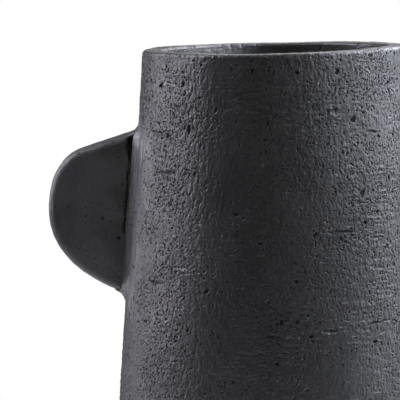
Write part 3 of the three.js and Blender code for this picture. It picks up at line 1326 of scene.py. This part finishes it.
    def slab(self, name: str, top: float) -> None:
        """Makes the base slab: from the middle of the underside out, round the foot, up, and in.

        Args:
            name: The slab's node.
            top: Its thickness.
        """
        foot = float(self.profile.outer(self.foot_edge)) - self.foot_edge
        under = self.steps(self.coarse, foot, self.coarse)
        corner, corner_way = self.arc((foot, self.foot_edge), self.foot_edge, -90.0, 0.0, self.foot_rows)
        side = self.levels(self.foot_edge, top)
        floor = self.steps(float(self.profile.outer(top)) - self.coarse, self.coarse, self.coarse)
        path = np.concatenate([
            pairs(under, 0.0),
            corner,
            pairs(self.profile.outer(side), side),
            pairs(floor, top),
        ])
        normal = np.concatenate([
            np.tile([0.0, 0.0], (len(under), 1)),
            corner_way,
            np.tile([1.0, 0.0], (len(side), 1)),
            np.tile([0.0, 0.0], (len(floor), 1)),
        ])
        grow = np.linspace(0.0, 1.0, len(corner))[:, None]
        normal[len(under) : len(under) + len(corner)] *= grow
        open_face = np.repeat([self.under_open, 1.0], [len(under), len(path) - len(under)])
        points, surface = self.shape(path, normal, open_face)
        rows = len(path)
        middle = np.array([[0.0, 0.0, 0.0], [0.0, 0.0, top]])
        points = np.concatenate([points, middle])
        ends = {name: np.append(values, values[[0, -1]]) for name, values in vars(surface).items()}
        column = np.arange(self.columns)
        beside = (column + 1) % self.columns
        first, last = np.zeros_like(column), (rows - 1) * self.columns
        under_middle = rows * self.columns
        under_fan = np.stack([first + under_middle, beside, column], axis=1)
        floor_fan = np.stack([first + under_middle + 1, last + column, last + beside], axis=1)
        quads = grid_quads(rows, self.columns, False)
        joint = np.arange(rows - 1) == len(under) + len(corner) + len(side) - 1
        flat = np.concatenate([np.repeat(joint, self.columns), np.zeros(2 * self.columns, bool)])
        piece = make_piece(f"{name}_clay", points, [quads, under_fan, floor_fan], flat, Surface(**ends))
        stand_in(piece, name, self.material)

    def corner_coil(self, name: str, floor: float) -> None:
        """Makes the coil pressed into the inner corner, with a hollow, thumbed face.

        Args:
            name: The coil's node.
            floor: The slab's top.
        """
        top = floor + self.corner
        across_step, wall_step, crown_step = self.coil_steps
        wall = self.steps(floor, top, wall_step)
        inner = float(self.profile.inner(floor)) - self.corner
        across = self.steps(inner, float(self.profile.inner(floor)), across_step)
        hollow_size = self.corner * self.corner_hollow
        face, face_way = self.arc((inner, top), hollow_size, 0.0, -90.0, self.thumb_rows)
        reach = float(self.profile.inner(top))
        crown = self.steps(reach, inner + hollow_size, crown_step)
        path = np.concatenate([
            pairs(across, floor),
            pairs(self.profile.inner(wall), wall),
            pairs(crown, top),
            face,
            np.array([[inner, floor + self.corner - hollow_size]]),
        ])
        normal = np.zeros_like(path)
        start = len(across) + len(wall) + len(crown)
        normal[start : start + len(face)] = -face_way
        open_face = np.full(len(path), self.inside_open)
        self.ring(name, path, normal, open_face, np.zeros(len(path), bool))

    def build(self) -> None:
        """Makes every piece of the vessel from the frame's own levels, from the base up."""
        courses = sorted(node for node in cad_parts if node.startswith("wall_course_"))
        feet = [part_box(node)[0][2] / MM - self.joint_gap for node in [*courses, "rim_coil"]]
        self.slab("base_slab", feet[0])
        self.corner_coil("base_corner_coil", feet[0])
        for number, node in enumerate(courses):
            slant = 0.0 if number == 0 else self.scarf
            self.course(node, feet[number], feet[number + 1], slant)
        self.rim("rim_coil", feet[-1])


@dataclass
class Lug:
    """One solid D-shaped lug, with flat faces and a rounded edge.

    Attributes:
        side: The side that it stands on.
        profile: The plain shape of the wall.
        shape: Its outline and edge.
        material: Its finish.
        across: How many points go across a face.
        upright: How many points go up a face.
        face_share: The share of the way out where the edge's rounding starts.
        edge_share: The share of the way out where the rounding ends.
        outline_points: How many even steps the outline is divided into.
        turn_points: How many of them away, each way, the outline's direction is taken.
        root_edge: The rounding at the root, as a share of the edge's.
        root_clear: How far off the wall the rounding starts to grow, and where it is full.
        least_facing: The least cosine between the way out and the outline's direction that counts.
        swells: The long unevenness.
        relief: The grain.
        pits: The scatters of pits.
        hollow_full: The depth from which a pit counts as a full hollow, in millimetres.
        polish: How smooth the faces were rubbed, from 0 to 1.
        pitting: How thickly they have pinholes, from 0 up.
        crevice_out: How far from the wall the crevice at the root runs, in millimetres.
        crevice_drops: Where it starts, where its wide part ends, and where it closes, below the rim.
        crevice_opens: How far down from its start it is fully open.
        crevice_closes: How far up from its end it starts to close.
        crevice_depths: The depth of its thin part, and how much deeper the wide part is.
        crevice_halves: Half the width of its thin part, and how much wider the wide part is.
        crevice_strays: How its line strays from the wall's.
        crevice_breaks: Where its thin part is broken off.
        crevice_shown: The heights of that pattern between which it comes back.
        bead_out: How far from the wall the bead of clay beside it runs.
        bead_width: Half the bead's width.
        bead_height: How far the bead stands up.
    """

    side: Side
    profile: Profile
    shape: LugShape
    material: bpy.types.Material
    across: int = 120
    upright: int = 190
    face_share: float = 0.74
    edge_share: float = 0.89
    outline_points: int = 900
    turn_points: int = 12
    root_edge: float = 0.15
    root_clear: tuple[float, float] = (-1.0, 5.0)
    least_facing: float = 0.4
    swells: tuple[Waves, ...] = (Waves(71, (24.0, 24.0, 24.0), 0.35), Waves(73, (9.0, 9.0, 12.0), 0.10))
    relief: tuple[Waves, ...] = (Waves(79, (2.0, 2.0, 2.4), 0.05), Waves(83, (1.3, 1.3, 5.0), 0.09))
    pits: tuple[Pits, ...] = (
        Pits(89, (12.0, 12.0), 0.22, 0.04, 0.08, 0.9),
        Pits(97, (5.0, 5.0), 0.16, 0.08, 0.13, 0.45),
    )
    hollow_full: float = 0.4
    polish: float = 0.3
    pitting: float = 0.1
    crevice_out: float = 3.3
    crevice_drops: tuple[float, float, float] = (49.0, 68.0, 112.0)
    crevice_opens: float = 4.0
    crevice_closes: float = 12.0
    crevice_depths: tuple[float, float] = (0.7, 3.6)
    crevice_halves: tuple[float, float] = (0.35, 1.35)
    crevice_strays: tuple[Waves, ...] = (Waves(131, (5.0, 5.0, 5.0), 0.6), Waves(133, (1.4, 1.4, 1.6), 0.45))
    crevice_breaks: Waves = Waves(139, (6.0, 6.0, 7.0), 1.0)
    crevice_shown: tuple[float, float] = (-0.35, 0.35)
    bead_out: float = 4.9
    bead_width: float = 0.8
    bead_height: float = 0.5

    def disc(self) -> tuple[Array, Array]:
        """Lays a square grid out as a disc, by x sqrt(1 - y^2 / 2) and y sqrt(1 - x^2 / 2).

        Returns:
            The angle and the share of the way out of each grid point, upright rows first.
        """
        x = np.linspace(-1.0, 1.0, self.across)[None, :]
        y = np.linspace(-1.0, 1.0, self.upright)[:, None]
        east = x * np.sqrt(1.0 - y * y / 2.0)
        north = y * np.sqrt(1.0 - x * x / 2.0)
        return np.arctan2(north, east), np.clip(np.hypot(east, north), 0.0, 1.0)

    def face(self, towards: float) -> tuple[Array, Array]:
        """Shapes one half of the lug, from the middle of its face out to the middle of its edge.

        Going out from the middle, the surface is flat up to the rounding, then turns a quarter circle
        of the edge's radius, then runs straight back to the middle of the thickness. The rounding is
        less at the root, where the lug runs into the wall.

        Args:
            towards: -1 for the front face, +1 for the back.

        Returns:
            Places on the +X lug in millimetres, and the directions away from the clay.
        """
        outline = self.shape.outline(self.profile)
        centre = (outline.max(axis=0) + outline.min(axis=0)) / 2.0
        outline = even_steps(outline, self.outline_points)
        run = np.roll(outline, -self.turn_points, axis=0) - np.roll(outline, self.turn_points, axis=0)
        sideways = np.stack([-run[:, 1], run[:, 0]], axis=1)
        angle = np.arctan2(outline[:, 1] - centre[1], outline[:, 0] - centre[0])
        order = np.argsort(angle)
        grid_angle, out = self.disc()

        def look(values: Array) -> Array:
            """Looks up a value of the outline in the direction of each grid point."""
            return np.interp(grid_angle, angle[order], values[order], period=TURN)

        border = np.stack([look(outline[:, 0]), look(outline[:, 1])], axis=-1)
        beyond = border[..., 0] - self.profile.outer(border[..., 1])
        clear = smoothstep(*self.root_clear, beyond)
        edge = self.shape.edge * (self.root_edge + (1.0 - self.root_edge) * clear)
        outward = np.stack([look(sideways[:, 0]), look(sideways[:, 1])], axis=-1)
        outward /= np.linalg.norm(outward, axis=-1)[..., None]
        half = self.shape.thickness / 2.0
        rounding = np.clip((out - self.face_share) / (self.edge_share - self.face_share), 0.0, 1.0)
        turn = rounding * math.pi / 2
        away = border - centre
        length = np.linalg.norm(away, axis=-1)[..., None]
        facing_out = np.sum(outward * away, axis=-1)[..., None] / length
        inset = away / length * edge[..., None] / np.clip(facing_out, self.least_facing, 1.0)
        rim = border - inset
        flat_share = np.clip(out / self.face_share, 0.0, 1.0)[..., None]
        plane = centre + (rim - centre) * flat_share + inset * np.sin(turn)[..., None]
        back = np.clip((out - self.edge_share) / (1.0 - self.edge_share), 0.0, 1.0)
        depth = (half - edge + edge * np.cos(turn)) - (half - edge) * back
        places = np.stack([plane[..., 0], towards * depth, plane[..., 1]], axis=-1)
        ways = np.stack([
            outward[..., 0] * np.sin(turn),
            towards * np.cos(turn),
            outward[..., 1] * np.sin(turn),
        ], axis=-1)
        return places, ways

    def build(self) -> None:
        """Makes the lug: two halves that share their border, turned to this side."""
        rows, columns = self.upright, self.across
        front, front_way = self.face(-1.0)
        back, back_way = self.face(1.0)
        number = np.arange(rows * columns).reshape(rows, columns)
        behind = number.copy()
        own = np.arange((rows - 2) * (columns - 2)).reshape(rows - 2, columns - 2)
        behind[1:-1, 1:-1] = rows * columns + own
        places = np.concatenate([front.reshape(-1, 3), back[1:-1, 1:-1].reshape(-1, 3)])
        ways = np.concatenate([front_way.reshape(-1, 3), back_way[1:-1, 1:-1].reshape(-1, 3)])
        turn = np.array([self.side.value, self.side.value, 1.0])
        places, ways = places * turn, ways * turn
        swell = sum(wave.at(places) for wave in self.swells)
        grain = sum(wave.at(places) for wave in self.relief)
        even = np.ones(len(places))
        spread = np.stack([places[:, 0] + places[:, 1], places[:, 2] + places[:, 1]], axis=1)
        pits = np.zeros(len(places))
        for layer in self.pits:
            pits = np.maximum(pits, layer.at(spread, even))
        root = self.root_line(places) * np.clip(-ways[:, 1], 0.0, 1.0)
        places = places + ways * (swell + grain + root - pits)[:, None]
        # The pits and the root's crevice, which the material darkens as painted shade.
        hollow = np.clip(np.maximum(pits, -root) / self.hollow_full, 0.0, 1.0)
        surface = Surface(swell, grain - pits, hollow, 0.0 * even, self.polish * even, self.pitting * even)
        faces = np.concatenate([self.quads(number), self.quads(behind)[:, ::-1]])
        name = f"{self.side.name.lower()}_lug"
        piece = make_piece(f"{name}_clay", places, [faces], np.zeros(len(faces), bool), surface)
        stand_in(piece, name, self.material)

    def root_line(self, places: Array) -> Array:
        """Gives the relief along the root of the front face, where the lug drew away as it dried.

        A crevice runs down the root, wide and deep at the top and a thin broken crack lower down,
        with a bead of clay beside it. Across, the crevice falls off as exp(-share^4) and the bead as
        exp(-share^2).

        Args:
            places: Places on the lug, in millimetres.

        Returns:
            The height at each place, below 0 in the crevice.
        """
        beyond = np.abs(places[:, 0]) - self.profile.outer(places[:, 2])
        beyond += sum(wave.at(places) for wave in self.crevice_strays)
        drop = self.profile.height - places[:, 2]
        shown = smoothstep(*self.crevice_shown, self.crevice_breaks.at(places))
        top, wide_end, bottom = self.crevice_drops
        opened = top + self.crevice_opens
        wide = smoothstep(wide_end, opened, drop)
        along = smoothstep(top, opened, drop) * smoothstep(bottom, bottom - self.crevice_closes, drop)
        thin_half, more_half = self.crevice_halves
        thin_depth, more_depth = self.crevice_depths
        across = (beyond - self.crevice_out) / (thin_half + more_half * wide)
        crevice = (thin_depth * shown + more_depth * wide) * np.exp(-(across**4))
        bead = self.bead_height * np.exp(-(((beyond - self.bead_out) / self.bead_width) ** 2))
        return along * (bead - crevice)

    def quads(self, number: Array) -> Array:
        """Joins numbered grid points into four-sided faces that point towards -Y."""
        parts = [number[:-1, :-1], number[:-1, 1:], number[1:, 1:], number[1:, :-1]]
        return np.stack(parts, axis=-1).reshape(-1, 4)


@dataclass
class Luting:
    """The ring of wet clay wiped from the wall up against a lug's root; its paler colour is partly a painted
    sheen.

    Its size changes round the root: low and narrow over the top, a wide smear at the sides, and a
    full fillet under the heel. Each size is its width on the wall, its rise off the wall, and how far
    it runs in under the lug, in millimetres.

    Attributes:
        side: The side that it is on.
        profile: The plain shape of the wall.
        shape: The lug's outline and edge.
        clay: How the wall's surface departs from its plain shape.
        material: Its finish.
        around: How many points go round the root.
        side_size: Its size at the lug's two faces.
        top_size: Its size over the lug.
        heel_size: Its size under the lug.
        heel_tuck: How much higher it stands inside the lug at the heel, as a share of its rise.
        bend: How hollow its slope is.
        under: How far its edge runs down under the wall's surface.
        rows: How many rows its slope has.
        wander: How its size strays.
        wander_shares: How much its width and its rise follow that, as a share.
        swell: The unevenness of its thick part.
        dip: How far its outer edge lies under the wall's surface, where the slope ends.
        thick: How far it stands off the wall where it is fully uneven.
        slip_and_sheen: How much of the paler slip colour it has, from 0 to 1; that colour is partly a
            painted sheen.
        top_bare: How much of that paler colour is left off over the top, from 0 to 1.
    """

    side: Side
    profile: Profile
    shape: LugShape
    clay: Clay
    material: bpy.types.Material
    around: int = 760
    side_size: tuple[float, float, float] = (10.0, 3.0, 1.0)
    top_size: tuple[float, float, float] = (4.5, 1.8, 2.0)
    heel_size: tuple[float, float, float] = (7.0, 2.7, 4.5)
    heel_tuck: float = 1.4
    bend: float = 1.9
    under: float = 1.0
    rows: int = 36
    wander: Waves = Waves(137, (6.0, 6.0, 6.0), 1.0)
    wander_shares: tuple[float, float] = (0.15, 0.12)
    swell: Waves = Waves(113, (8.0, 8.0, 10.0), 0.3)
    dip: float = 0.5
    thick: float = 1.5
    slip_and_sheen: float = 0.9
    top_bare: float = 0.6

    def build(self) -> None:
        """Makes the ring from its section, carried round the root on the uneven wall.

        Across the ring the height falls as rise (1 - share)^bend - dip share, from the lug's face to
        the outer edge, where the ring runs down under the wall's surface.
        """
        middle = self.profile.height - (self.shape.top_drop + self.shape.bottom_drop) / 2.0
        half_length = (self.shape.bottom_drop - self.shape.top_drop) / 2.0
        half_width = self.shape.thickness / 2.0
        path, way = rounded_rectangle(half_width, half_length, self.shape.edge, self.around)
        above = np.clip(way[:, 1], 0.0, 1.0) ** 2
        below = np.clip(-way[:, 1], 0.0, 1.0) ** 2
        beside = 1.0 - above - below
        sizes = zip(self.side_size, self.top_size, self.heel_size)
        width, rise, tuck = (beside * a + above * b + below * c for a, b, c in sizes)
        drop = self.profile.height - middle - path[:, 1]
        wander = self.wander.at(np.stack([path[:, 0], 0.0 * drop, drop], axis=1))
        width *= 1.0 + self.wander_shares[0] * wander
        rise *= 1.0 + self.wander_shares[1] * wander
        share = np.linspace(0.0, 1.0, self.rows)[:, None]
        slope = rise * (1.0 - share) ** self.bend - self.dip * share
        distance = np.concatenate([[-tuck, -0.5 * tuck], width * share, [0.5 * width]])
        sunk = np.full((1, self.around), -self.under)
        tucked = rise * (1.0 + self.heel_tuck * below)
        height = np.concatenate([sunk, [tucked], slope, sunk])
        flat_places = path[None, :, :] + way[None, :, :] * distance[..., None]
        sideways = flat_places[..., 0].ravel()
        level = (middle + flat_places[..., 1]).ravel()
        radius = self.profile.outer(level)
        forward = np.sqrt(radius**2 - sideways**2)
        plain = np.stack([forward, sideways, level], axis=1) * [self.side.value, self.side.value, 1.0]
        surface = self.clay.surface(plain, ())
        raised = height.ravel()
        uneven = self.swell.at(plain) * smoothstep(0.0, self.thick, raised)
        outward = plain * [1.0, 1.0, 0.0] / radius[:, None]
        places = plain + outward * (surface.swell + surface.relief + raised + uneven)[:, None]
        # The luting's paler slip colour, partly a painted sheen; less of it over the top.
        kept = 1.0 - self.top_bare * np.tile(above, len(distance))
        surface.smeared = np.maximum(surface.smeared, self.slip_and_sheen) * kept
        faces = grid_quads(len(distance), self.around, True)
        name = f"{self.side.name.lower()}_lug_luting"
        piece = make_piece(f"{name}_clay", places, [faces], np.zeros(len(faces), bool), surface)
        stand_in(piece, name, self.material)


def rounded_rectangle(
    half_width: float, half_length: float, corner: float, count: int
) -> tuple[Array, Array]:
    """Walks round a rectangle with round corners, evenly by length.

    Args:
        half_width: Half its size across.
        half_length: Half its size up and down.
        corner: The radius of its corners.
        count: How many points.

    Returns:
        The points and the directions away from them, anticlockwise.
    """
    angle = np.radians(np.arange(0.0, 360.0, 2.0) + 1.0)
    way = np.stack([np.cos(angle), np.sin(angle)], axis=1)
    core = np.array([half_width - corner, half_length - corner])
    spots = even_steps(np.sign(way) * core + corner * way, count)
    away = spots - np.clip(spots, -core, core)
    return spots, away / np.linalg.norm(away, axis=1)[:, None]


@dataclass
class Pot:
    """The whole pot, put together from its pieces.

    Attributes:
        marks: The single cracks, drag marks and large pits that can be told apart.
    """

    marks: Sequence[Mark] = (
        Mark(-73.8, 38.5, 4.2, 1.1, 1.3, 90.0),
        Mark(-38.6, 41.1, 4.0, 1.4, 1.4, 90.0),
        Mark(-56.5, 17.6, 2.4, 2.0, 1.4),
        Mark(-66.6, 16.1, 1.8, 1.6, 1.2),
        Mark(-50.5, 46.0, 2.2, 2.0, 1.4),
        Mark(31.5, 36.3, 2.6, 2.2, 1.6),
        Mark(34.7, 76.1, 2.6, 2.2, 1.6),
        Mark(24.5, 10.6, 2.0, 1.8, 1.4),
        Mark(-57.5, 44.9, 17.0, 0.9, 0.8, 0.0, 1.0),
        Mark(-50.0, 66.6, 15.0, 1.6, 0.7),
        Mark(24.5, 96.6, 17.0, 0.9, 0.9),
        Mark(-53.0, 127.5, 15.0, 0.9, 0.8),
        Mark(40.4, 147.4, 19.0, 0.9, 0.8, 4.0),
        Mark(41.0, 43.4, 8.0, 1.2, 0.8),
        Mark(41.0, 100.8, 7.0, 0.9, 0.7),
        Mark(18.6, 150.0, 9.0, 1.4, 0.8),
        Mark(-3.2, 152.3, 4.0, 1.3, 1.0),
        Mark(6.6, 144.3, 2.0, 1.8, 1.2),
        Mark(13.1, 16.3, 3.0, 0.8, 0.6),
    )

    def build(self) -> None:
        """Makes the vessel, then the lug and its luting clay on each side."""
        laid = [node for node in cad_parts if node.startswith(("wall_course_", "rim_coil"))]
        feet = [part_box(node)[0][2] / MM for node in laid]
        profile = Profile(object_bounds()[1][2] / MM)
        clay = Clay(profile, tuple(sorted(feet)[1:]))
        sanded = {"dark": 0.023, "light": 0.054, "polished_rough": 0.5, "open_rough": 0.55, "grain": 0.00045}
        wall_finish = BlackClay(Slot.WALL).material()
        lug_finish = BlackClay(Slot.LUG, **sanded).material()
        luting_finish = BlackClay(Slot.LUTING, dark=0.019, light=0.031).material()
        Vessel(profile, clay, wall_finish, self.marks).build()
        for side in Side:
            Lug(side, profile, LugShape(), lug_finish).build()
            Luting(side, profile, LugShape(), clay, luting_finish).build()


# ---- The studio ----

LEFT_TINT = (1.0, 0.97, 1.10)  # the lights' colours, close to white
RIGHT_TINT = (0.95, 0.98, 1.11)
WARM_TINT = (1.0, 1.0, 0.93)


@dataclass(frozen=True)
class Softbox:
    """A soft light on a stand, turned towards the pot.

    Attributes:
        name: What it is called.
        bearing: Where it stands round the pot, in degrees from the front.
        distance: How far from the pot's axis, in metres.
        level: How high its middle is, in metres.
        size: Its width and height, in metres.
        watts: Its power.
        colour: Its colour.
        aim: The height on the pot's axis that it faces, in metres.
        spread: How wide its beam opens, in degrees.
    """

    name: str
    bearing: float
    distance: float
    level: float
    size: tuple[float, float]
    watts: float
    colour: tuple[float, float, float]
    aim: float = 0.25
    spread: float = 180.0

    def build(self) -> None:
        """Makes the light at its bearing and faces it to the pot's axis at the height of its aim."""
        lamp = bpy.data.lights.new(self.name, "AREA")
        lamp.shape = "RECTANGLE"
        lamp.size, lamp.size_y = self.size
        lamp.energy = self.watts
        lamp.color = self.colour
        lamp.spread = math.radians(self.spread)
        light = bpy.data.objects.new(self.name, lamp)
        bpy.context.scene.collection.objects.link(light)
        turn = math.radians(self.bearing)
        light.location = (self.distance * math.sin(turn), -self.distance * math.cos(turn), self.level)
        light.rotation_euler = facing(light.location, (0.0, 0.0, self.aim))
        light.visible_camera = False


def facing(place: Sequence[float], target: Sequence[float]) -> tuple[float, float, float]:
    """Gives the turn that points an object's -Z from one place to another, with its top up.

    Args:
        place: Where the object is.
        target: What it faces.

    Returns:
        The XYZ rotation.
    """
    away = np.array(target) - np.array(place)
    flat = math.hypot(away[0], away[1])
    return (math.pi / 2 + math.atan2(away[2], flat), 0.0, math.atan2(-away[0], away[1]))


@dataclass
class Studio:
    """The floor, the room, the lights and the camera; lengths are in metres but for the lens's.

    Attributes:
        floor_radius: The floor disc's radius.
        floor_clear: How far from the middle the floor starts to fade.
        floor_points: How many corners the disc has.
        floor_shade: The floor's reflectance.
        room_dark: How bright the dark cloth in front is.
        room_sweep: How much brighter the sweep behind is.
        camera_height: The camera's height.
        camera_distance: How far in front of the pot's axis it is.
        camera_side: How far to the right it is.
        target_height: The height that it is turned to, on the axis.
        sensor: The width of its film, in millimetres.
        lens: Its focal length, in millimetres.
        lights: The softboxes.
    """

    floor_radius: float = 0.72
    floor_clear: float = 0.30
    floor_points: int = 96
    floor_shade: float = 0.82
    room_dark: float = 0.004
    room_sweep: float = 0.02
    camera_height: float = 0.414
    camera_distance: float = 1.42
    camera_side: float = -0.0426
    target_height: float = 0.263
    sensor: float = 36.0
    lens: float = 225.0
    lights: tuple[Softbox, ...] = (
        Softbox("left_high", -97.0, 1.05, 1.05, (0.30, 0.6), 20.5, LEFT_TINT),
        Softbox("left_low", -108.0, 1.3, 0.40, (0.34, 0.6), 8.5, LEFT_TINT),
        Softbox("right_high", 91.0, 1.05, 1.05, (0.40, 0.6), 30.5, RIGHT_TINT),
        Softbox("right_low", 114.0, 1.3, 0.40, (0.5, 0.6), 6.5, RIGHT_TINT),
        Softbox("right_front", 62.0, 1.15, 0.60, (0.20, 0.3), 0.14, RIGHT_TINT, aim=0.44, spread=16.0),
        Softbox("right_back_high", 132.0, 1.0, 1.05, (0.4, 0.6), 24.0, RIGHT_TINT),
        Softbox("back_high", 172.0, 1.0, 1.05, (0.5, 0.6), 3.0, WARM_TINT),
        Softbox("front_high", 0.0, 1.05, 1.05, (0.6, 0.6), 2.4, WARM_TINT),
    )

    def floor(self) -> None:
        """Makes the pale floor, a disc that fades into the white around it."""
        count = self.floor_points
        angle = TURN * np.arange(count) / count
        points = np.stack([np.cos(angle), np.sin(angle), np.zeros(count)], axis=1) * self.floor_radius
        mesh = bpy.data.meshes.new("floor")
        mesh.from_pydata(points.tolist(), [], [list(range(count))])
        floor = bpy.data.objects.new("floor", mesh)
        bpy.context.scene.collection.objects.link(floor)
        material = bpy.data.materials.new("floor_paper")
        material.use_nodes = True
        graph = Graph(material.node_tree)
        place = graph.add("ShaderNodeTexCoord", {}, {}, "Object")
        reach = graph.vector("LENGTH", place, output="Value")
        inputs = {
            "Base Color": grey(self.floor_shade),
            "Roughness": 0.9,
            "Specular IOR Level": 0.1,
            "Alpha": reach.step(self.floor_radius * 0.95, self.floor_clear),
        }
        graph.surface(inputs)
        mesh.materials.append(material)
        floor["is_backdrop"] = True

    def world(self) -> None:
        """Lights the room: a white sweep behind the pot, dark cloth in front, white to look at."""
        world = bpy.data.worlds.new("studio")
        bpy.context.scene.world = world
        world.use_nodes = True
        graph = Graph(world.node_tree)
        way = graph.add("ShaderNodeTexCoord", {}, {}, "Generated")
        depth = graph.add("ShaderNodeSeparateXYZ", {}, {0: way}, "Y")
        room = depth.step(-0.25, 0.75) * self.room_sweep + self.room_dark
        seen = graph.add("ShaderNodeLightPath", {}, {}, "Is Camera Ray")
        strength = seen + (1.0 - seen) * room
        shader = graph.add("ShaderNodeBackground", {}, {"Color": grey(1.0), "Strength": strength}, 0)
        graph.finish("ShaderNodeOutputWorld", shader)

    def camera(self) -> None:
        """Makes the camera, level and a little above the rim."""
        lens = bpy.data.cameras.new("camera")
        lens.sensor_width = self.sensor
        lens.lens = self.lens
        camera = bpy.data.objects.new("camera", lens)
        bpy.context.scene.collection.objects.link(camera)
        camera.location = (self.camera_side, -self.camera_distance, self.camera_height)
        camera.rotation_euler = facing(camera.location, (self.camera_side, 0.0, self.target_height))
        bpy.context.scene.camera = camera

    def build(self) -> None:
        """Sets the studio up round the pot."""
        self.floor()
        self.world()
        self.camera()
        for light in self.lights:
            light.build()
        scene = bpy.context.scene
        scene.view_settings.view_transform = "Standard"
        scene.view_settings.look = "None"


def main() -> None:
    """Builds the pot and its studio."""
    logging.basicConfig(level=logging.INFO, format="%(name)s: %(message)s")
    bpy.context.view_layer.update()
    Pot().build()
    Studio().build()
    bpy.context.view_layer.update()


if __name__ == "__main__":
    main()
